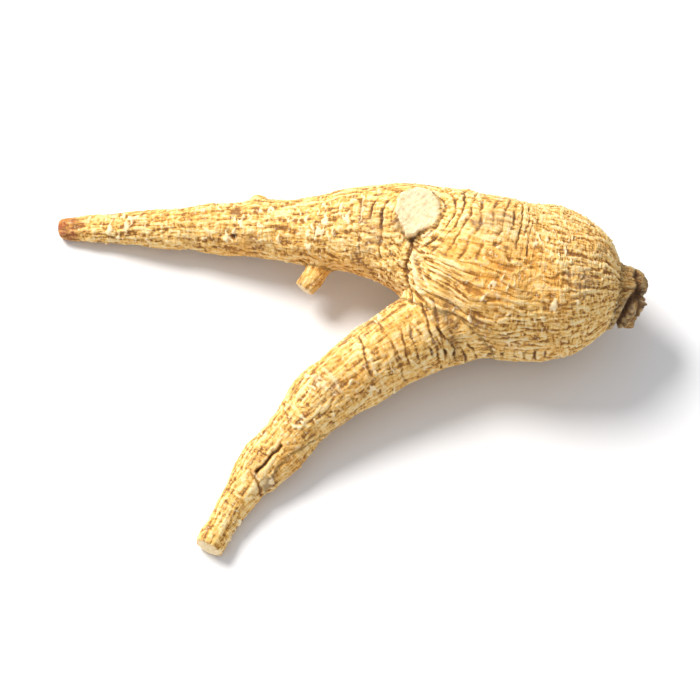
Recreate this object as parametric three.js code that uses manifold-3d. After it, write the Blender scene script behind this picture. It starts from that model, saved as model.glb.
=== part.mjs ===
// A dried American ginseng root, in millimetres, +Z up, lying on the plane z = 0.
// It grew as one piece: a plump taproot that forks into a long leg and a short leg, with the stub
// of the neck at its crown, two rootlets broken off short, a knob, and the scar of a cut branch.
// X runs along the taproot, from the tip of the long leg (-X) to the neck (+X).
// The origin is on the resting plane, under the middle of the root's box.
import * as THREE from "three";
import { mergeVertices } from "three/addons/utils/BufferGeometryUtils.js";
import Module from "manifold-3d";

// Stations along each limb's centreline: [x, y, z, radius]. A limb is as thick as its radii say
// and keeps its first and last radius as flat ends.
const TAPROOT_AND_LONG_LEG = [
  [36.3, 10.9, 10.5, 3.2],
  [35.6, 10.9, 10.6, 5.6],
  [32.6, 11.1, 10.7, 8.6],
  [28.7, 11.3, 10.4, 10.4],
  [24.7, 11.6, 10.4, 10.8],
  [20.1, 12.3, 10.9, 11.2],
  [15.6, 14.2, 10.9, 10.4],
  [11.4, 16.8, 10.8, 8.5],
  [6.8, 18.9, 10.2, 7.3],
  [0.0, 20.4, 8.7, 5.8],
  [-7.7, 21.5, 6.7, 4.6],
  [-15.4, 22.8, 5.2, 3.9],
  [-23.1, 23.5, 3.9, 3.1],
  [-27.8, 23.8, 3.3, 2.8],
  [-32.4, 24.3, 2.6, 2.3],
  [-37.0, 24.6, 1.75, 1.95],
  [-41.4, 24.8, 1.2, 1.3],
];
const SHORT_LEG = [
  [21.5, 11.8, 9.6, 7.6],
  [15.6, 8.1, 8.7, 7.2],
  [10.4, 5.2, 7.9, 5.8],
  [5.1, 2.4, 7.0, 5.3],
  [0.2, -0.8, 6.1, 4.95],
  [-4.1, -4.4, 5.2, 4.4],
  [-8.2, -8.3, 4.2, 3.6],
  [-12.2, -12.2, 3.1, 3.0],
  [-15.4, -17.2, 2.2, 2.35],
  [-17.9, -21.5, 1.75, 2.0],
  [-19.8, -25.2, 1.65, 1.9],
];
const NECK = [
  [32.5, 10.6, 10.4, 3.4],
  [35.6, 10.1, 9.8, 3.8],
  [37.6, 9.6, 9.2, 4.2],
  [39.0, 9.2, 8.8, 4.0],
  [39.8, 9.0, 8.6, 2.9],
];
const UPPER_ROOTLET = [
  [-2.2, 19.0, 6.9, 2.0],
  [-4.4, 16.4, 5.9, 1.6],
  [-6.8, 13.2, 4.9, 1.5],
];
const LOWER_ROOTLET = [
  [-3.6, -7.0, 5.0, 1.6],
  [-8.2, -11.4, 3.6, 1.9],
  [-12.6, -15.6, 2.2, 1.6],
];
const KNOB = [
  [-13.6, 23.2, 5.4, 2.4],
  [-13.4, 25.6, 6.6, 1.9],
  [-13.2, 27.0, 7.3, 0.9],
];
// The stub of the cut branch, from inside the shoulder up to its flat face.
const BRANCH_SCAR = [
  [9.0, 19.6, 13.0, 4.2],
  [8.95, 18.6, 17.9, 3.4],
  [8.9, 18.2, 19.9, 3.2],
];

const SIDES_THICK = 32; // faces round the taproot
const SIDES_MIDDLE = 22; // round the short leg and the neck
const SIDES_THIN = 12; // round the rootlets, the knob and the scar
const RING_PITCH_THICK = 1.25; // distance between two rings of faces along the taproot
const RING_PITCH_THIN = 1.0; // the same along the rootlets and the short leg
const LUMPINESS = 0.035; // how far the section of a thick limb leaves a circle, as a share of it

const EARTH_BROWN = "#c9a468"; // dry cork skin
const SKIN_ROUGHNESS = 0.85;

const wasm = await Module();
wasm.setup();

// A closed limb swept along its stations: rings of points at even distances, joined by faces, and
// a fan over each end. The section is a circle that two slow waves round and along the limb bend.
function limbGeometry(stations, sides, ringPitch, lumpiness = 0) {
  const path = new THREE.CatmullRomCurve3(
    stations.map(([x, y, z]) => new THREE.Vector3(x, y, z)),
    false,
    "centripetal",
  );
  const girth = new THREE.SplineCurve(
    stations.map(([, , , radius], i) => new THREE.Vector2(i, radius)),
  );
  const length = path.getLength();
  const rings = Math.max(3, Math.round(length / ringPitch));
  const { normals, binormals } = path.computeFrenetFrames(rings);

  const points = [];
  for (let i = 0; i <= rings; i++) {
    const along = i / rings;
    const centre = path.getPointAt(along);
    const radius = girth.getPoint(path.getUtoTmapping(along)).y;
    for (let j = 0; j < sides; j++) {
      const angle = (j / sides) * 2 * Math.PI;
      const wave =
        0.6 * Math.sin(2 * angle + 0.11 * along * length) +
        0.4 * Math.sin(3 * angle - 0.17 * along * length + 1);
      const reach = radius * (1 + lumpiness * wave);
      points.push(
        centre
          .clone()
          .addScaledVector(normals[i], reach * Math.cos(angle))
          .addScaledVector(binormals[i], reach * Math.sin(angle)),
      );
    }
  }
  const firstMiddle = points.push(path.getPointAt(0)) - 1;
  const lastMiddle = points.push(path.getPointAt(1)) - 1;

  const faces = [];
  for (let j = 0; j < sides; j++) {
    const next = (j + 1) % sides;
    for (let i = 0; i < rings; i++) {
      const [a, b] = [i * sides + j, i * sides + next];
      faces.push(a, b, b + sides, a, b + sides, a + sides);
    }
    faces.push(firstMiddle, next, j);
    faces.push(lastMiddle, rings * sides + j, rings * sides + next);
  }
  return new THREE.BufferGeometry().setFromPoints(points).setIndex(faces);
}

function toSolid(geometry) {
  const bare = geometry.clone();
  bare.deleteAttribute("normal");
  bare.deleteAttribute("uv");
  const merged = mergeVertices(bare, 1e-4);
  return new wasm.Manifold(
    new wasm.Mesh({
      numProp: 3,
      vertProperties: merged.attributes.position.array,
      triVerts: new Uint32Array(merged.index.array),
    }),
  );
}

function toGeometry(solid) {
  const mesh = solid.getMesh();
  const geometry = new THREE.BufferGeometry();
  geometry.setAttribute(
    "position",
    new THREE.BufferAttribute(new Float32Array(mesh.vertProperties), 3),
  );
  geometry.setIndex(new THREE.BufferAttribute(mesh.triVerts, 1));
  return geometry;
}

// Everything below the resting plane, which presses a small flat where the root touches it.
function belowPlane() {
  const size = 120;
  return toSolid(new THREE.BoxGeometry(size, size, size).translate(0, 0, -size / 2));
}

function rootGeometry() {
  const limbs = [
    limbGeometry(TAPROOT_AND_LONG_LEG, SIDES_THICK, RING_PITCH_THICK, LUMPINESS),
    limbGeometry(SHORT_LEG, SIDES_MIDDLE, RING_PITCH_THIN, LUMPINESS),
    limbGeometry(NECK, SIDES_MIDDLE, RING_PITCH_THIN, 2 * LUMPINESS),
    limbGeometry(UPPER_ROOTLET, SIDES_THIN, RING_PITCH_THIN),
    limbGeometry(LOWER_ROOTLET, SIDES_THIN, RING_PITCH_THIN),
    limbGeometry(KNOB, SIDES_THIN, RING_PITCH_THIN),
    limbGeometry(BRANCH_SCAR, SIDES_THIN, RING_PITCH_THIN),
  ];
  const grown = limbs.map(toSolid).reduce((whole, limb) => whole.add(limb));
  const geometry = toGeometry(grown.subtract(belowPlane()));
  geometry.computeBoundingBox();
  const middle = geometry.boundingBox.getCenter(new THREE.Vector3());
  return geometry.translate(-middle.x, -middle.y, -geometry.boundingBox.min.z);
}

const root = new THREE.Mesh(
  rootGeometry(),
  new THREE.MeshStandardMaterial({
    color: EARTH_BROWN,
    roughness: SKIN_ROUGHNESS,
    metalness: 0,
  }),
);
root.name = "ginseng_root";

const part = new THREE.Group();
part.add(root);

export default part;
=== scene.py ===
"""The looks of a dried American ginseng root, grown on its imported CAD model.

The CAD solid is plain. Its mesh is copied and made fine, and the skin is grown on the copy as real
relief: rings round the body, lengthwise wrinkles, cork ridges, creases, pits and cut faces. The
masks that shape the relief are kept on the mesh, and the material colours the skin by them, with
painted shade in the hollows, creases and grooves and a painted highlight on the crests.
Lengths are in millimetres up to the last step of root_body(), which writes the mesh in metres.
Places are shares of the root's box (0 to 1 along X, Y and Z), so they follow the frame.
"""

import itertools
import math

import bmesh
import bpy
import numpy as np
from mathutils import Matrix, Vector


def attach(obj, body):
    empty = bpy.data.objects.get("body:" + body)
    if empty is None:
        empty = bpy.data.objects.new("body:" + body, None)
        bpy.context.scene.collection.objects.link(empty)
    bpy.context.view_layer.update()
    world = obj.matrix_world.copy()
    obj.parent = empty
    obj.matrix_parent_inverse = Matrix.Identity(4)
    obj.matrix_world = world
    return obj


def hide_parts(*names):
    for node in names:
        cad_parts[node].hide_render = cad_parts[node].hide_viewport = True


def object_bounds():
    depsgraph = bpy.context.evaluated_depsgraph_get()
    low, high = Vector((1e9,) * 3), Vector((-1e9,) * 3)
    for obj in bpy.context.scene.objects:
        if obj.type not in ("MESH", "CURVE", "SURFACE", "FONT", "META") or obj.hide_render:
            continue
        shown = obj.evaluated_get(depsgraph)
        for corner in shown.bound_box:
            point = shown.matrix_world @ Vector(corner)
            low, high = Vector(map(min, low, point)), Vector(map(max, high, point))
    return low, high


MM = 0.001

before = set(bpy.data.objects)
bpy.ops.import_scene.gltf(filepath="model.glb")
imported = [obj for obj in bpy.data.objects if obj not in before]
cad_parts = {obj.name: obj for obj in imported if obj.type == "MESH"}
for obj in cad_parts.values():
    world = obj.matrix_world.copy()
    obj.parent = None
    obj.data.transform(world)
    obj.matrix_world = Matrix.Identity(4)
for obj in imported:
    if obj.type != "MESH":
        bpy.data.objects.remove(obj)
CAD_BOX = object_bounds()
LOW, HIGH = (np.array(corner) / MM for corner in CAD_BOX)
SPAN = HIGH - LOW

# ---------------------------------------------------------------- the limbs, as shares of the box
# Each limb is a list of stations along its middle: x, y, z, and its radius as a share of the
# root's height.
TAPROOT = [
    (0.948, 0.691, 0.484, 0.274),
    (0.901, 0.695, 0.489, 0.393),
    (0.805, 0.705, 0.475, 0.493),
    (0.694, 0.753, 0.498, 0.475),
    (0.587, 0.841, 0.466, 0.333),
    (0.462, 0.878, 0.356, 0.238),
    (0.318, 0.914, 0.238, 0.178),
    (0.167, 0.933, 0.151, 0.128),
    (0.002, 0.951, 0.055, 0.059),
]
SHORT_LEG = [
    (0.766, 0.708, 0.438, 0.347),
    (0.694, 0.639, 0.397, 0.329),
    (0.631, 0.585, 0.361, 0.265),
    (0.507, 0.473, 0.279, 0.226),
    (0.405, 0.332, 0.192, 0.164),
    (0.357, 0.260, 0.142, 0.137),
    (0.318, 0.166, 0.100, 0.107),
    (0.264, 0.016, 0.075, 0.087),
]
NECK = [
    (0.900, 0.686, 0.475, 0.155),
    (0.962, 0.667, 0.420, 0.192),
    (0.988, 0.656, 0.393, 0.132),
]
UPPER_ROOTLET = [
    (0.478, 0.843, 0.315, 0.091),
    (0.451, 0.794, 0.269, 0.073),
    (0.422, 0.734, 0.224, 0.069),
]
LOWER_ROOTLET = [
    (0.461, 0.357, 0.228, 0.073),
    (0.405, 0.274, 0.164, 0.087),
    (0.352, 0.196, 0.100, 0.073),
]

# ---------------------------------------------------------------- what marks the skin
# Lines run over the skin from point to point. Depth and width are in millimetres, and a negative
# depth raises a ridge. The darkening is painted shade in the line's crease; pale is how creamy it
# is.
LINE_REACH = 1.6  # how far under or over a line's points the skin may be
LINES = [
    {  # the fold between the long leg and the body, from the branch scar down to the fork
        "run": [
            (0.602, 0.752, 0.83), (0.594, 0.707, 0.71),
            (0.598, 0.668, 0.622), (0.609, 0.61, 0.58),
        ],
        "width": 0.34, "depth": 0.45, "shade_and_brown": 0.6, "pale": 0.0,
    },
    {  # the pale ridge beside that fold
        "run": [(0.612, 0.722, 0.76), (0.614, 0.69, 0.72), (0.626, 0.64, 0.67)],
        "width": 0.4, "depth": -0.4, "shade_and_brown": 0.0, "pale": 0.55,
    },
    {  # the hollow between the body and the short leg
        "run": [(0.661, 0.623, 0.827), (0.669, 0.549, 0.63), (0.681, 0.501, 0.366)],
        "width": 1.5, "depth": 0.45, "shade_and_brown": 0.35, "pale": 0.0,
    },
    {
        "run": [(0.624, 0.60, 0.635), (0.635, 0.526, 0.583), (0.655, 0.489, 0.299)],
        "width": 0.22, "depth": 0.3, "shade_and_brown": 0.75, "pale": 0.0,
    },
    {
        "run": [(0.64, 0.6, 0.68), (0.651, 0.523, 0.575), (0.668, 0.496, 0.31)],
        "width": 0.2, "depth": 0.25, "shade_and_brown": 0.6, "pale": 0.0,
    },
    {  # a crack round the short leg
        "run": [
            (0.517, 0.53, 0.5), (0.523, 0.499, 0.53),
            (0.534, 0.439, 0.48), (0.553, 0.418, 0.207),
        ],
        "width": 0.18, "depth": 0.22, "shade_and_brown": 0.65, "pale": 0.0,
    },
    {  # two cork ridges across the short leg
        "run": [(0.462, 0.452, 0.43), (0.475, 0.418, 0.46), (0.487, 0.393, 0.44)],
        "width": 0.22, "depth": -0.2, "shade_and_brown": 0.0, "pale": 0.7,
    },
    {
        "run": [(0.447, 0.43, 0.42), (0.458, 0.4, 0.44)],
        "width": 0.2, "depth": -0.2, "shade_and_brown": 0.0, "pale": 0.6,
    },
    {  # the cleft between the short leg and the rootlet beside it
        "run": [(0.386, 0.266, 0.295), (0.367, 0.239, 0.264), (0.346, 0.207, 0.235)],
        "width": 0.26, "depth": 0.7, "shade_and_brown": 0.9, "pale": 0.0,
    },
    {  # round the broken end of that rootlet
        "run": [
            (0.346, 0.207, 0.235), (0.343, 0.187, 0.2),
            (0.352, 0.165, 0.12), (0.362, 0.165, 0.05),
        ],
        "width": 0.3, "depth": 0.4, "shade_and_brown": 0.4, "pale": 0.0,
    },
    {  # a ring round the middle of the short leg, with a pale lip
        "run": [(0.55, 0.56, 0.52), (0.567, 0.51, 0.56), (0.584, 0.456, 0.48), (0.597, 0.44, 0.3)],
        "width": 0.18, "depth": 0.18, "shade_and_brown": 0.5, "pale": 0.0,
    },
    {
        "run": [(0.53, 0.49, 0.54), (0.541, 0.445, 0.5), (0.556, 0.423, 0.3)],
        "width": 0.18, "depth": -0.14, "shade_and_brown": 0.0, "pale": 0.35,
    },
    {  # rings where the long leg leaves the shoulder
        "run": [(0.552, 0.86, 0.78), (0.55, 0.80, 0.76), (0.553, 0.745, 0.62)],
        "width": 0.18, "depth": 0.2, "shade_and_brown": 0.5, "pale": 0.0,
    },
    {
        "run": [(0.522, 0.9, 0.68), (0.518, 0.84, 0.7), (0.522, 0.78, 0.56)],
        "width": 0.18, "depth": 0.2, "shade_and_brown": 0.45, "pale": 0.0,
    },
    {  # the crevice across the crumpled neck
        "run": [
            (0.984, 0.735, 0.53), (0.979, 0.69, 0.57),
            (0.983, 0.64, 0.53), (0.974, 0.60, 0.46),
        ],
        "width": 0.3, "depth": 0.55, "shade_and_brown": 1.0, "pale": 0.0,
    },
]
# Spots: where, how wide in millimetres, and how strong.
CORK_SPOTS = [
    ((0.444, 0.844, 0.567), 2.6, 1.0),
    ((0.48, 0.87, 0.6), 3.0, 0.6),
    ((0.372, 0.85, 0.449), 2.2, 0.7),
    ((0.092, 0.917, 0.182), 3.0, 0.8),
    ((0.85, 0.672, 0.929), 2.0, 0.9),
    ((0.8, 0.72, 0.98), 3.5, 0.5),
    ((0.46, 0.42, 0.45), 2.6, 0.7),
    ((0.40, 0.33, 0.30), 2.5, 0.5),
]
WARM_SPOTS = [
    ((0.727, 0.613, 0.93), 5.0, 1.0),
    ((0.801, 0.631, 0.938), 4.0, 0.8),
    ((0.486, 0.421, 0.469), 3.5, 0.7),
    ((0.579, 0.511, 0.566), 3.0, 0.7),
    ((0.7, 0.68, 0.95), 3.0, 0.8),
]
STAIN_AND_SHADE_SPOTS = [
    ((0.738, 0.75, 0.999), 4.0, 0.6),
    # The next two are partly painted shade along the short leg's upper-left edge.
    ((0.52, 0.56, 0.47), 3.2, 1.0),
    ((0.337, 0.241, 0.252), 3.0, 0.3),
    ((0.66, 0.55, 0.60), 3.0, 0.6),
    ((0.895, 0.631, 0.85), 4.0, 0.5),
    ((0.56, 0.80, 0.72), 4.0, 0.6),
]
PITS = [
    ((0.302, 0.864, 0.357), 0.45, 0.9),
    ((0.742, 0.70, 0.99), 0.4, 0.6),
    ((0.765, 0.66, 0.97), 0.35, 0.6),
    ((0.34, 0.88, 0.40), 0.3, 0.5),
]
# Where the living root is fuller or thinner than the CAD solid: place, width and millimetres.
SWELLS = [
    ((0.54, 0.55, 0.42), 5.0, 0.55),
    ((0.60, 0.60, 0.48), 3.0, 0.4),
    ((0.44, 0.43, 0.32), 4.0, 0.25),
    ((0.87, 0.86, 0.70), 4.0, 0.45),
    ((0.79, 0.92, 0.70), 3.5, -0.4),
    ((0.70, 0.93, 0.75), 3.5, 0.3),
    ((0.02, 0.95, 0.09), 2.2, 0.3),
]
RING_PITCH = 1.25  # distance between two rings
RING_DEPTH = 0.3
RING_WIDTH = 0.15
# Where rings cross the skin, and not lengthwise wrinkles.
RING_SPOTS = [
    ((0.70, 0.79, 0.96), 6.0, 1.0),
    ((0.74, 0.86, 0.90), 6.0, 1.0),
    ((0.65, 0.86, 0.92), 5.0, 1.0),
    ((0.72, 0.51, 0.40), 4.5, 1.0),
    ((0.80, 0.51, 0.40), 3.5, 0.7),
    ((0.65, 0.52, 0.50), 3.0, 0.9),
    ((0.765, 0.75, 0.99), 4.5, 1.0),
    ((0.70, 0.70, 0.97), 3.5, 0.9),
    ((0.60, 0.52, 0.50), 3.5, 0.7),
    ((0.55, 0.86, 0.75), 3.5, 0.7),
]

ROOTLET_END = (0.357, 0.188, 0.17)  # the pale broken end of the rootlet beside the short leg
# The flat face that a cut branch left on the shoulder.
SCAR_MIDDLE = (0.613, 0.822, 0.915)
SCAR_FACING = (0.0, -0.28, 0.96)
SCAR_RADIUS = 3.05
SCAR_POINT = 0.9  # how far the scar's lower edge runs out to a point

BLUNT_END = 0.8  # how much fuller the body is round the neck
NECK_PINCH = 0.45  # how much thinner the neck is where it starts
NECK_BROWN = 0.6  # how dark the neck is, from 0 to 1

# ---------------------------------------------------------------- the finished surface
VOXEL = 0.31  # side of a face of the first remesh, which is halved once it is smooth
FILLET_ROUNDS = 28  # rounds of smoothing that take the CAD solid's faces away
JOINT_ROUNDS = 65  # further rounds where two limbs meet, which give the fork its soft fillet
SHRINK_MAKEUP = 0.08  # what the smoothing takes off the radius
TRIANGLES = 196_000  # in the finished mesh


def place(share):
    """The point in millimetres at the given shares of the root's box."""
    return LOW + np.array(share[:3]) * SPAN


def smoothstep(low, high, value):
    """0 up to low, 1 from high on, and a soft step between. low may be the larger of the two."""
    t = np.clip((value - low) / (high - low), 0, 1)
    return t * t * (3 - 2 * t)


def bump(distance, width):
    """1 at distance 0, falling to 0.37 at width."""
    return np.exp(-((distance / width) ** 2))


def unit(vectors):
    return vectors / np.linalg.norm(vectors, axis=-1, keepdims=True)


# ---------------------------------------------------------------- seeded noise


def noise(points, seed):
    """Gradient noise from about -1 to 1: one value for each row of points, in cells 1 wide."""
    draw = np.random.default_rng(seed)
    turns = np.tile(draw.permutation(256), 2)
    slopes = unit(draw.normal(size=(256, 3)))
    cell = np.floor(points).astype(np.int64)
    inside = points - cell
    fade = inside**3 * (inside * (inside * 6 - 15) + 10)
    total = np.zeros(len(points))
    for corner in itertools.product((0, 1), repeat=3):
        corner = np.array(corner)
        x, y, z = ((cell + corner) & 255).T
        slope = slopes[turns[turns[turns[x] + y] + z]]
        weight = np.prod(np.where(corner, fade, 1 - fade), axis=1)
        total += weight * np.einsum("ij,ij->i", slope, inside - corner)
    return 1.7 * total


def layered(points, seed, layers=3, gain=0.5):
    """Noise with finer layers added, each twice as fine and gain times as strong."""
    total = np.zeros(len(points))
    for layer in range(layers):
        total += gain**layer * noise(points * 2**layer + 17.3 * layer, seed + layer)
    return total


def drift(points, size, strength, seed):
    """Points moved about by noise whose cells are size wide, so that straight lines waver."""
    moves = [noise(points / size, seed + axis) for axis in range(3)]
    return points + strength * np.stack(moves, axis=1)


# ---------------------------------------------------------------- limbs


class Limb:
    """A limb's middle line. It gives each point of the skin a place along and across the limb."""

    STEP = 0.4  # distance between two points of the line
    LOOK_AHEAD = 10  # over the blunt end, lines run together as they would on a dome this long

    def __init__(self, stations):
        stations = np.array(stations)
        points = LOW + stations[:, :3] * SPAN
        girths = stations[:, 3] * SPAN[2]
        lengths = np.r_[0, np.cumsum(np.linalg.norm(np.diff(points, axis=0), axis=1))]
        along = np.linspace(0, lengths[-1], max(6, int(lengths[-1] / self.STEP)))
        self.points = np.stack([rounded(along, lengths, points[:, i]) for i in range(3)], axis=1)
        self.girths = rounded(along, lengths, girths)
        steps = np.linalg.norm(np.diff(self.points, axis=0), axis=1)
        self.along = np.r_[0, np.cumsum(steps)]
        ahead = int(self.LOOK_AHEAD / self.STEP)
        self.widest = np.array([self.girths[i : i + ahead].max() for i in range(len(along))])

    def flow(self, skin):
        """Rows of (along, sideways, upwards) for the points of the skin, as if the limb were
        straight and its blunt end unrolled, and the gap: how far each point is outside the limb's
        radius, under 0 inside it."""
        nearest = np.full(len(skin), np.inf)
        found = np.zeros((len(skin), 4))
        last = len(self.points) - 2
        for i in range(last + 1):
            start, step = self.points[i], self.points[i + 1] - self.points[i]
            length = np.linalg.norm(step)
            ahead = step / length
            side = unit(np.cross([0, 0, 1], ahead))
            offset = skin - start
            lowest, highest = (-np.inf if i == 0 else 0), (np.inf if i == last else length)
            run = np.clip(offset @ ahead, lowest, highest)
            across = offset - run[:, None] * ahead
            distance = np.linalg.norm(across, axis=1)
            closer = distance < nearest
            nearest[closer] = distance[closer]
            girth = np.interp(run[closer] / length, [0, 1], self.girths[i : i + 2])
            found[closer, 0] = self.along[i] + run[closer]
            found[closer, 1] = across[closer] @ side
            found[closer, 2] = across[closer] @ np.cross(ahead, side)
            found[closer, 3] = distance[closer] - girth
        past_end = np.maximum(-found[:, 0], found[:, 0] - self.along[-1]).clip(0)
        gap = found[:, 3] + past_end
        widest = np.interp(found[:, 0], self.along, self.widest)
        unrolled = widest / nearest.clip(0.3)
        along = found[:, 0] - (widest - nearest)
        return np.column_stack([along, found[:, 1:3] * unrolled[:, None]]), gap


def rounded(at, knots, values):
    """Values at the given places on a smooth curve through the knots (a monotone cubic)."""
    slopes = np.diff(values) / np.diff(knots)
    ends = np.zeros(len(values))
    same_way = slopes[1:] * slopes[:-1] > 0
    middle = 2 * slopes[1:] * slopes[:-1] / np.where(same_way, slopes[1:] + slopes[:-1], 1)
    ends[1:-1] = np.where(same_way, middle, 0)
    ends[0], ends[-1] = slopes[0], slopes[-1]
    i = np.clip(np.searchsorted(knots, at, side="right") - 1, 0, len(slopes) - 1)
    width = knots[i + 1] - knots[i]
    t = (at - knots[i]) / width
    curve = values[i] * (1 + 2 * t) * (1 - t) ** 2 + ends[i] * width * t * (1 - t) ** 2
    return curve + values[i + 1] * t**2 * (3 - 2 * t) + ends[i + 1] * width * t**2 * (t - 1)


# ---------------------------------------------------------------- meshes


def modified(mesh, kind, **settings):
    """A new mesh: the given one as one modifier leaves it."""
    holder = bpy.data.objects.new("holder", mesh)
    bpy.context.collection.objects.link(holder)
    modifier = holder.modifiers.new(kind, kind)
    for key, value in settings.items():
        setattr(modifier, key, value)
    evaluated = holder.evaluated_get(bpy.context.evaluated_depsgraph_get())
    result = bpy.data.meshes.new_from_object(evaluated)
    bpy.data.objects.remove(holder)
    bpy.data.meshes.remove(mesh)
    return result


def welded(mesh):
    """A copy of the mesh in which faces that meet share their points."""
    copy = mesh.copy()
    shape = bmesh.new()
    shape.from_mesh(copy)
    bmesh.ops.remove_doubles(shape, verts=shape.verts, dist=0.001 * MM)
    shape.to_mesh(copy)
    shape.free()
    return copy


def from_mesh(mesh):
    """The points, in millimetres, and the four-sided faces of a mesh."""
    points = np.empty(3 * len(mesh.vertices))
    mesh.vertices.foreach_get("co", points)
    faces = np.empty(4 * len(mesh.polygons), dtype=np.int64)
    mesh.polygons.foreach_get("vertices", faces)
    return points.reshape(-1, 3) / MM, faces.reshape(-1, 4)


def to_mesh(name, skin):
    mesh = bpy.data.meshes.new(name)
    mesh.from_pydata((skin.points * MM).tolist(), [], skin.faces.tolist())
    return mesh


class Skin:
    """The fine mesh while it is worked: points, four-sided faces and their edges."""

    def __init__(self, points, faces):
        self.points = points
        self.faces = faces
        edges = np.concatenate([faces[:, [i, (i + 1) % 4]] for i in range(4)])
        self.edges = np.unique(np.sort(edges, axis=1), axis=0)
        self.counts = np.bincount(self.edges.ravel(), minlength=len(points))

    def average(self, values):
        """The mean of each point's neighbours, for one value or one row a point."""
        columns = values.reshape(len(values), -1)
        a, b = self.edges.T
        sums = [
            np.bincount(a, column[b], len(values)) + np.bincount(b, column[a], len(values))
            for column in columns.T
        ]
        return (np.stack(sums, axis=1) / self.counts[:, None]).reshape(values.shape)

    def smoothed(self, values, rounds, strength=0.5):
        """Values, or points, moved towards their neighbours' mean again and again."""
        for _ in range(rounds):
            values = values + strength * (self.average(values) - values)
        return values

    def normals(self):
        corners = self.points[self.faces]
        across = np.cross(corners[:, 2] - corners[:, 0], corners[:, 3] - corners[:, 1])
        total = np.zeros_like(self.points)
        for axis in range(3):
            for corner in range(4):
                total[:, axis] += np.bincount(
                    self.faces[:, corner], across[:, axis], len(self.points)
                )
        return unit(total)


# ---------------------------------------------------------------- relief


def root_body():
    """The whole root, with its skin as relief and the masks that colour it."""
    limbs = [Limb(rows) for rows in (TAPROOT, SHORT_LEG, NECK, UPPER_ROOTLET, LOWER_ROOTLET)]
    skin = bare_skin(limbs)
    masks = grow_skin(skin, limbs)
    skin.points[:, 2] = np.maximum(skin.points[:, 2], 0)

    mesh = to_mesh("root_body", skin)
    for name, values in masks.items():
        kind, field = ("FLOAT_VECTOR", "vector") if values.ndim == 2 else ("FLOAT", "value")
        layer = mesh.attributes.new(name, kind, "POINT")
        layer.data.foreach_set(field, values.astype(np.float32).ravel())
    mesh = modified(mesh, "DECIMATE", ratio=TRIANGLES / (2 * len(skin.faces)))
    mesh.shade_smooth()
    piece = bpy.data.objects.new("root_body", mesh)
    bpy.context.collection.objects.link(piece)
    return piece


def bare_skin(limbs):
    """The CAD solid's surface, fine and smooth, with soft fillets where the limbs meet."""
    solid = welded(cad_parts["ginseng_root"].data)
    skin = Skin(*from_mesh(modified(solid, "REMESH", mode="VOXEL", voxel_size=VOXEL * MM)))
    shares = limb_shares(skin.points, limbs)[1]
    crisp = cut_edges(skin.points)[:, None]
    skin.points = skin.smoothed(skin.points, FILLET_ROUNDS, 0.5 * (1 - crisp))
    joint = smoothstep(0.97, 0.6, shares.max(axis=1)) * (1 - bump(far(skin.points, NECK[1]), 6))
    joint = skin.smoothed(joint, 4)[:, None]
    skin.points = skin.smoothed(skin.points, JOINT_ROUNDS, 0.5 * joint * (1 - crisp))
    skin.points += SHRINK_MAKEUP * skin.normals()
    return Skin(*from_mesh(modified(to_mesh("bare", skin), "SUBSURF", levels=1)))


def spots(points, rows):
    """The strongest of the given spots at each point."""
    found = [strength * bump(far(points, where), width) for where, width, strength in rows]
    return np.max(found, axis=0)


def far(points, share):
    return np.linalg.norm(points - place(share), axis=1)


def cut_edges(points):
    """Near 1 where the skin keeps a crisp edge: at the cut ends, the scar and the knob."""
    ends = [(SHORT_LEG[-1], 2.6), (TAPROOT[-1], 2.0), (UPPER_ROOTLET[-1], 2.2)]
    ends += [(LOWER_ROOTLET[-1], 2.4), (SCAR_MIDDLE, 4.2), ((0.345, 0.99, 0.33), 2.2)]
    return spots(points, [(where, width, 0.9) for where, width in ends])


def limb_shares(points, limbs):
    """Each limb's flow coordinates, and how much each point belongs to each limb."""
    flows, gaps = zip(*(limb.flow(points) for limb in limbs))
    pull = np.exp(-np.stack(gaps, axis=1).clip(-1, 8) / 0.35)
    return flows, pull / pull.sum(axis=1, keepdims=True)


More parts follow.
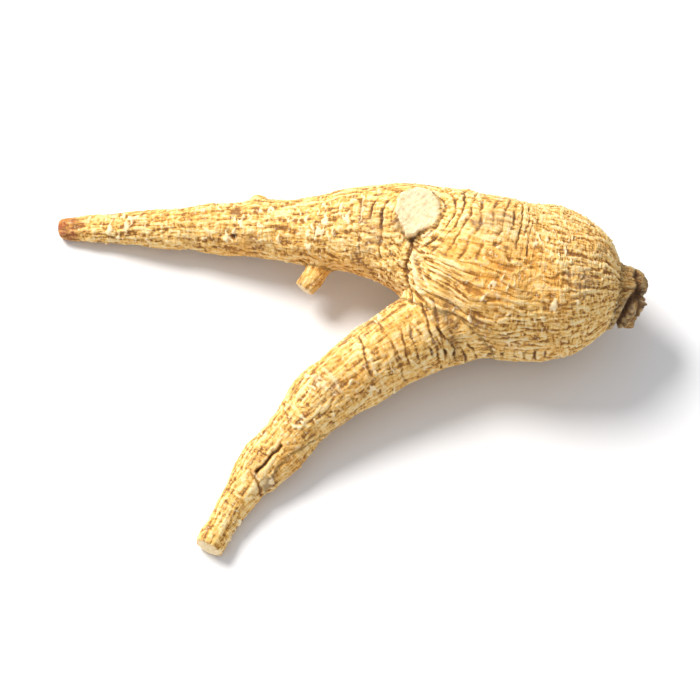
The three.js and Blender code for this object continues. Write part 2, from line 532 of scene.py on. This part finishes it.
def grow_skin(skin, limbs):
    """Raises the relief on the skin, and returns the masks that colour it."""
    points, normals = skin.points, skin.normals()
    flows, shares = limb_shares(points, limbs)
    flow = np.choose(shares.argmax(axis=1)[:, None], flows)
    neck = shares[:, 2]

    ringed = (spots(points, RING_SPOTS) + 0.45 * noise(points / 5, 5)).clip(0, 1)
    ringed = smoothstep(0.25, 0.65, ringed) * (shares[:, 0] + shares[:, 1])
    ring_relief, ring_groove_shade = rings(points, flows, shares)
    fine = (1 - 0.6 * ringed) * wrinkles(points, flows, shares) + ringed * ring_relief
    fine *= 1 + 0.9 * neck

    cork = cork_ridges(points, flow, spots(points, CORK_SPOTS))
    lined, shade_and_brown, pale = lines(points, normals)
    pits = spots(points, PITS)
    collar = smoothstep(0.55, 1.0, 4 * neck * shares[:, 0])
    fine += 0.2 * cork + lined - 0.8 * pits - 0.8 * collar
    fine += 0.05 * layered(points / 0.55, 31, 2)

    scar = scar_share(points)
    ends = cut_faces(points, normals, limbs)
    ends = np.maximum(ends, 0.5 * smoothstep(0.3, 0.7, bump(far(points, ROOTLET_END), 1.0)))
    cut = np.maximum(scar, ends)
    fine *= 1 - 0.9 * cut
    swell = sum(by * bump(far(points, where), width) for where, width, by in SWELLS)
    swell += bump(far(points, NECK[0]), 5.5) * (BLUNT_END * shares[:, 0] - NECK_PINCH * neck)
    crumple = 0.5 * neck * (layered(flow / (2.6, 1.0, 1.0), 21, 2) + noise(points / 1.1, 23))
    height = (0.35 * layered(points / 8, 11, 2) + swell + crumple) * (1 - cut) + fine
    skin.points = points + height[:, None] * normals
    skin.points += scar_moves(skin.points, scar)

    # How far each point lies above or below its neighbours: the material paints shade into the
    # hollows and a highlight onto the crests by it.
    cavity_shade_and_highlight = fine - skin.smoothed(fine, 40)
    brown = np.maximum(neck, smoothstep(5.7, 4.9, far(points, NECK[1])))
    # The neck's own brown goes in here; the pits, the groove round the collar, the line under the
    # scar and the deepest ring grooves get painted shade.
    shade_and_brown += brown * (NECK_BROWN + 0.5 * noise(flow / (1.5, 0.6, 0.6), 22)) + pits
    shade_and_brown += 0.75 * collar + 0.8 * scar_edge_shadow(points) + 0.8 * ringed * ring_groove_shade
    tip = smoothstep(0.15, 0.7, bump(far(points, TAPROOT[-1]), 3.0) + 0.5 * noise(points / 0.9, 73))
    warm = spots(points, WARM_SPOTS) + 0.7 * noise(points / 6, 71)
    stain_and_shade = spots(points, STAIN_AND_SHADE_SPOTS) + 0.6 * layered(points / 5, 76, 2)
    return {
        "flow": flow,
        "height": cavity_shade_and_highlight,
        "pale": np.maximum(np.maximum(pale, cork), cut).clip(0, 1),
        "shade_and_brown": shade_and_brown.clip(0, 1) * (1 - cut),
        "warm": warm.clip(0, 1),
        "stain_and_shade": smoothstep(0.15, 0.9, stain_and_shade + 1.0 * neck),
        "tip": tip * (1 - 0.6 * cork),
    }


def valleys(value, width):
    """1 in the narrow valleys where the noise passes 0, and 0 away from them."""
    return 1 - smoothstep(0, width, np.abs(value))


def wrinkles(points, flows, shares):
    """Lengthwise wrinkles, in millimetres, each limb's along its own direction."""
    total = np.zeros(len(points))
    for i, flow in enumerate(flows):
        mine = shares[:, i] > 0.02
        body = smoothstep(36, 26, flow[mine, 0]) if i == 0 else 0.0
        end = smoothstep(16, 5, flow[mine, 0]) if i == 0 else np.zeros(mine.sum())
        wavy = drift(flow[mine], 3.5, 0.8 + 0.25 * end[:, None], 40 + 10 * i)
        relief = 0.10 * noise(wavy / (7.0, 1.1, 1.1), 60 + i)
        long_valleys = valleys(noise(wavy / (8.0, 1.3, 1.3), 70 + i), 0.2)
        relief -= (0.08 + 0.1 * body) * (1 - 0.65 * end) * long_valleys
        relief -= 0.08 * valleys(noise(wavy / (4.5, 0.62, 0.62), 80 + i), 0.3)
        crests = (1 - np.abs(noise(wavy / (5.0, 1.4, 1.4), 90 + i))) ** 5
        banded = smoothstep(-0.1, 0.5, noise(wavy / 4.0, 110 + i))
        cross_valleys = valleys(noise(wavy / (0.7, 3.0, 3.0), 100 + i), 0.28)
        relief -= 0.09 * np.maximum(banded, end) * cross_valleys
        total[mine] += 1.15 * shares[mine, i] * (relief + (0.07 + 0.12 * body) * crests)
    return total


def rings(points, flows, shares):
    """Narrow grooves across the limb, which bend round the branch scar: their relief in
    millimetres, and 1 along the deepest of them, which grow_skin darkens as painted shade."""
    from_scar = far(points, SCAR_MIDDLE)
    near = bump(from_scar, 10)
    total = np.zeros(len(points))
    marked = np.zeros(len(points))
    for i in (0, 1):
        flow = flows[i]
        scar_along = flow[from_scar.argmin(), 0]
        ring = (1 - near) * np.abs(flow[:, 0] - scar_along) + near * from_scar
        wavy = drift(np.column_stack([ring, flow[:, 1:]]), 1.4, 0.22, 240 + 10 * i)
        turn = wavy[:, 0] / RING_PITCH + 0.45 * noise(wavy / (3.5, 4.5, 4.5), 260 + i)
        deep = bump((turn - np.round(turn)) * RING_PITCH, RING_WIDTH)
        slight = valleys(noise(wavy / (0.6, 3, 3), 270 + i), 0.3)
        crests = noise(wavy / (0.8, 2.5, 2.5), 290 + i).clip(0, 1)
        broken = (0.8 + 0.9 * noise(wavy / (1.3, 2.4, 2.4), 280 + i)).clip(0, 1.3)
        total += shares[:, i] * (0.14 * crests - RING_DEPTH * deep - 0.09 * slight) * broken
        marked += shares[:, i] * deep * broken
    return total, marked.clip(0, 1)


def cork_ridges(points, flow, patches):
    """Short pale ridges across the limb, 0 to 1, thicker on the ground in the corky patches."""
    wavy = drift(flow, 1.3, 0.55, 300)
    dashes = layered(wavy / (0.62, 1.7, 1.7), 310, 2)
    sparse = 0.45 * noise(points / 3.5, 320) + 0.5 * patches
    return smoothstep(0.58, 0.98, dashes + sparse)


def lines(points, normals):
    """The relief of LINES in millimetres, the painted shade they lay in their creases, and how pale
    they make the skin.
    """
    lift, shade_and_brown, pale = (np.zeros(len(points)) for _ in range(3))
    moved = drift(points, 1.6, 0.35, 330)
    for line in LINES:
        run = np.array([place(share) for share in line["run"]])
        gap = np.full(len(points), np.inf)
        for start, end in zip(run[:-1], run[1:]):
            step = end - start
            along = ((moved - start) @ step / (step @ step)).clip(0, 1)
            offset = moved - start - along[:, None] * step
            depth = np.einsum("ij,ij->i", offset, normals)
            over_skin = np.linalg.norm(offset - depth[:, None] * normals, axis=1)
            gap = np.minimum(gap, np.where(np.abs(depth) < LINE_REACH, over_skin, np.inf))
        share = bump(gap, line["width"])
        lift -= line["depth"] * share
        shade_and_brown = np.maximum(shade_and_brown, line["shade_and_brown"] * share)
        pale = np.maximum(pale, line["pale"] * share)
    return lift, shade_and_brown, pale


def scar_place(points):
    """Height over the scar's plane, and how far outside its ragged rim each point is."""
    facing = unit(np.array(SCAR_FACING))
    offset = points - place(SCAR_MIDDLE)
    over = offset @ facing
    right = unit(np.cross([0, 1, 0], facing))
    down = np.cross(right, facing)
    x, y = offset @ right, offset @ down
    angle = np.arctan2(y, x)
    round_rim = np.stack([np.cos(angle), np.sin(angle), 0 * angle], axis=1)
    rim = SCAR_RADIUS * (1 + 0.07 * layered(round_rim * 3.1, 350, 4, 0.7))
    rim = rim + SCAR_POINT * bump(angle - 1.9, 0.28)
    return over, np.hypot(x, y) - rim


def scar_share(points):
    over, outside = scar_place(points)
    return smoothstep(0.12, -0.12, outside) * (over > -3.5)


def scar_edge_shadow(points):
    """Painted shadow: the dark line under the scar's edge, strongest on its lower side."""
    over, outside = scar_place(points)
    below = smoothstep(1.5, -2.5, points[:, 1] - place(SCAR_MIDDLE)[1])
    return bump(outside - 0.25, 0.28) * (over > -4) * below


def scar_moves(points, share):
    """What brings the scar's points onto its plane, with a low rim and a worn face."""
    over, outside = scar_place(points)
    face = 0.13 * bump(outside + 0.35, 0.35) + 0.06 * layered(points / 1.2, 360, 2)
    return (share * (face - over))[:, None] * unit(np.array(SCAR_FACING))


def cut_faces(points, normals, limbs):
    """1 on the pale faces where the legs and the rootlets were cut off."""
    total = np.zeros(len(points))
    for i in (1, 3, 4):
        limb = limbs[i]
        ahead = unit(limb.points[-1] - limb.points[-2])
        near = bump(np.linalg.norm(points - limb.points[-1], axis=1), 2.6)
        facing = smoothstep(0.5, 0.8, normals @ ahead)
        total = np.maximum(total, facing * smoothstep(0.3, 0.5, near))
    return total


# ---------------------------------------------------------------- material


# The ramp runs from painted shade in the valleys, a dark brown also used for specks, up to a
# painted highlight on the crests.
VALLEY_SHADE_AND_SPECKS = (0.29, 0.12, 0.024, 1)
TAN = (0.80, 0.44, 0.10, 1)
CREST = (0.93, 0.62, 0.22, 1)
CREST_HIGHLIGHT = (0.95, 0.73, 0.37, 1)
ORANGE = (0.84, 0.37, 0.05, 1)
STAIN_AND_SHADE_BROWN = (0.38, 0.24, 0.115, 1)
CREAM = (0.96, 0.80, 0.52, 1)
# Near black: painted shade for creases and hollows, and the neck's own brown.
SHADE_AND_NECK_BROWN = (0.10, 0.045, 0.018, 1)
RED_BROWN = (0.36, 0.085, 0.03, 1)
BUMP_STRENGTHS = (0.85, 0.4)  # on the skin, and on pale cork and cut faces
BUMP_DISTANCE = 0.3 * MM


class Nodes:
    """Short calls that add and join the nodes of one material."""

    def __init__(self, material):
        self.nodes = material.node_tree.nodes
        self.links = material.node_tree.links

    def add(self, kind, inputs=None, **settings):
        node = self.nodes.new(kind)
        for key, value in settings.items():
            setattr(node, key, value)
        for key, value in (inputs or {}).items():
            self.put(value, node.inputs[key])
        return node

    def put(self, value, socket):
        if isinstance(value, bpy.types.NodeSocket):
            self.links.new(value, socket)
        else:
            socket.default_value = value

    def attribute(self, name, output="Fac"):
        return self.add("ShaderNodeAttribute", attribute_name=name).outputs[output]

    def math(self, operation, a, b=0.0):
        return self.add("ShaderNodeMath", {0: a, 1: b}, operation=operation).outputs[0]

    def scaled(self, value, low, high, to_low=0.0, to_high=1.0):
        inputs = {"Value": value, "From Min": low, "From Max": high}
        inputs |= {"To Min": to_low, "To Max": to_high}
        return self.add("ShaderNodeMapRange", inputs).outputs["Result"]

    def noise(self, vector, scale, detail, roughness=0.6):
        """Noise from about 0 to 1, in cells of 1 over the scale along each axis."""
        mapped = self.add("ShaderNodeMapping", {"Vector": vector, "Scale": scale}).outputs[0]
        inputs = {"Vector": mapped, "Scale": 1.0, "Detail": detail, "Roughness": roughness}
        return self.add("ShaderNodeTexNoise", inputs).outputs["Fac"]

    def mix(self, share, a, b):
        node = self.add("ShaderNodeMix", data_type="RGBA")
        for socket, value in ((0, share), (6, a), (7, b)):
            self.put(value, node.inputs[socket])
        return node.outputs[2]


def skin_material():
    """Cork skin: cream crests brightened by a painted highlight, golden flanks and brown valleys
    darkened by painted shade, with stains and fine fibres.
    """
    material = bpy.data.materials.new("root_skin")
    material.use_nodes = True
    make = Nodes(material)
    flow = make.attribute("flow", "Vector")
    fibres = make.noise(flow, (0.35, 1.9, 1.9), 2.5)
    grain = make.noise(flow, (1.7, 1.7, 1.7), 3.0)
    threads = make.noise(flow, (2.4, 0.55, 0.55), 2.5)
    streaks = make.noise(flow, (0.12, 1.5, 1.5), 3.0)
    blotches = make.noise(flow, (0.35, 0.35, 0.35), 3.0)

    # The height attribute holds the cavity: its low end is painted shade in the valleys, its high
    # end a painted highlight on the crests. The noises added to it are the skin's own grain.
    level = make.scaled(make.attribute("height"), -0.16, 0.13)
    level = make.math("ADD", level, make.scaled(fibres, 0.25, 0.75, -0.44, 0.44))
    level = make.math("ADD", level, make.scaled(grain, 0.25, 0.75, -0.38, 0.38))
    level = make.math("ADD", level, make.scaled(threads, 0.25, 0.75, -0.24, 0.24))
    level = make.math("ADD", level, make.scaled(blotches, 0.3, 0.7, -0.17, 0.17))
    level = make.math("ADD", level, make.scaled(streaks, 0.3, 0.7, -0.3, 0.3))
    ramp = make.add("ShaderNodeValToRGB", {"Fac": level})
    stops = ramp.color_ramp.elements
    stops[0].position, stops[0].color = 0.12, VALLEY_SHADE_AND_SPECKS
    stops[1].position, stops[1].color = 1.0, CREST_HIGHLIGHT
    stops.new(0.5).color = TAN
    stops.new(0.78).color = CREST
    colour = ramp.outputs["Color"]

    warm = make.math("MULTIPLY", make.attribute("warm"), make.scaled(grain, 0.3, 0.6, 0.2, 0.65))
    colour = make.mix(warm, colour, ORANGE)
    # Grey-brown stains, partly painted shade along the short leg's upper-left edge.
    uneven = make.scaled(fibres, 0.35, 0.65, 0.75, 0.15)
    stain_and_shade = make.math("MULTIPLY", make.attribute("stain_and_shade"), uneven)
    colour = make.mix(stain_and_shade, colour, STAIN_AND_SHADE_BROWN)
    flecks = make.scaled(make.noise(flow, (2.2, 1.3, 1.3), 4.0, 0.7), 0.57, 0.66)
    colour = make.mix(make.math("MULTIPLY", flecks, 0.6), colour, CREAM)
    specks = make.scaled(make.noise(flow, (1.9, 1.6, 1.6), 4.0, 0.75), 0.4, 0.26)
    colour = make.mix(make.math("MULTIPLY", specks, 0.3), colour, VALLEY_SHADE_AND_SPECKS)
    pale = make.math("MULTIPLY", make.attribute("pale"), make.scaled(grain, 0.35, 0.6, 0.5, 0.95))
    colour = make.mix(pale, colour, CREAM)
    tip = make.math("MULTIPLY", make.attribute("tip"), make.scaled(grain, 0.4, 0.6, 0.3, 0.95))
    colour = make.mix(tip, colour, RED_BROWN)
    # Painted shade in the creases, pits, collar groove, deepest rings and under the scar, and the
    # neck's own brown.
    colour = make.mix(make.scaled(make.attribute("shade_and_brown"), 0.15, 1.0, 0.0, 0.9), colour, SHADE_AND_NECK_BROWN)

    shader = make.nodes["Principled BSDF"]
    make.put(colour, shader.inputs["Base Color"])
    make.put(make.scaled(grain, 0.2, 0.8, 0.7, 0.9), shader.inputs["Roughness"])
    make.put(0.35, shader.inputs["Specular IOR Level"])
    relief = make.math("ADD", make.math("ADD", fibres, threads), grain)
    strength = make.scaled(make.attribute("pale"), 0.4, 1.0, *BUMP_STRENGTHS)
    inputs = {"Height": relief, "Strength": strength, "Distance": BUMP_DISTANCE}
    bumped = make.add("ShaderNodeBump", inputs)
    make.put(bumped.outputs["Normal"], shader.inputs["Normal"])
    return material


# ---------------------------------------------------------------- floor, light and camera

CAMERA_ELEVATION = math.radians(62.8)
CAMERA_DISTANCE = 0.7
SENSOR = 0.036
VIEW_WIDTH = 1.17  # of the root's length
KEY_PLACE = (-0.42, 0.38, 0.66)
KEY_SIZE = 0.42
KEY_WATTS = 9.6
KEY_COLOUR = (1.0, 0.97, 0.93)
SKY_COLOUR = (0.95, 0.97, 1.0, 1)
SKY_STRENGTH = 0.68
FLOOR_HALF = 0.6
FLOOR_COLOUR = (0.82, 0.82, 0.83, 1)


def floor():
    half = FLOOR_HALF
    mesh = bpy.data.meshes.new("floor")
    corners = [(-half, -half, 0), (half, -half, 0), (half, half, 0), (-half, half, 0)]
    mesh.from_pydata(corners, [], [(0, 1, 2, 3)])
    plane = bpy.data.objects.new("floor", mesh)
    bpy.context.collection.objects.link(plane)
    material = bpy.data.materials.new("floor_pale")
    material.use_nodes = True
    shader = material.node_tree.nodes["Principled BSDF"]
    shader.inputs["Base Color"].default_value = FLOOR_COLOUR
    shader.inputs["Roughness"].default_value = 0.6
    mesh.materials.append(material)


def area_light(name, place_m, target, size, watts, colour=(1, 1, 1)):
    data = bpy.data.lights.new(name, "AREA")
    data.shape = "DISK"
    data.size = size
    data.energy = watts
    data.color = colour
    light = bpy.data.objects.new(name, data)
    bpy.context.collection.objects.link(light)
    light.location = place_m
    light.rotation_euler = (Vector(target) - light.location).to_track_quat("-Z", "Y").to_euler()


def lights(centre):
    area_light("key", KEY_PLACE, centre, KEY_SIZE, KEY_WATTS, KEY_COLOUR)
    world = bpy.data.worlds.new("world")
    world.use_nodes = True
    background = world.node_tree.nodes["Background"]
    background.inputs["Color"].default_value = SKY_COLOUR
    background.inputs["Strength"].default_value = SKY_STRENGTH
    bpy.context.scene.world = world


def camera(centre):
    data = bpy.data.cameras.new("camera")
    data.sensor_width = SENSOR * 1000
    data.lens = 1000 * SENSOR * CAMERA_DISTANCE / (VIEW_WIDTH * SPAN[0] * MM)
    eye = bpy.data.objects.new("camera", data)
    bpy.context.collection.objects.link(eye)
    back = Vector((0, -math.cos(CAMERA_ELEVATION), math.sin(CAMERA_ELEVATION)))
    eye.location = Vector(centre) + CAMERA_DISTANCE * back
    eye.rotation_euler = (math.pi / 2 - CAMERA_ELEVATION, 0, 0)
    bpy.context.scene.camera = eye


root = root_body()
root.data.materials.append(skin_material())
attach(root, "root")
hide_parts("ginseng_root")

middle_of_root = tuple((LOW + HIGH) / 2 * MM)
floor()
lights(middle_of_root)
camera(middle_of_root)
bpy.context.scene.view_settings.view_transform = "Standard"
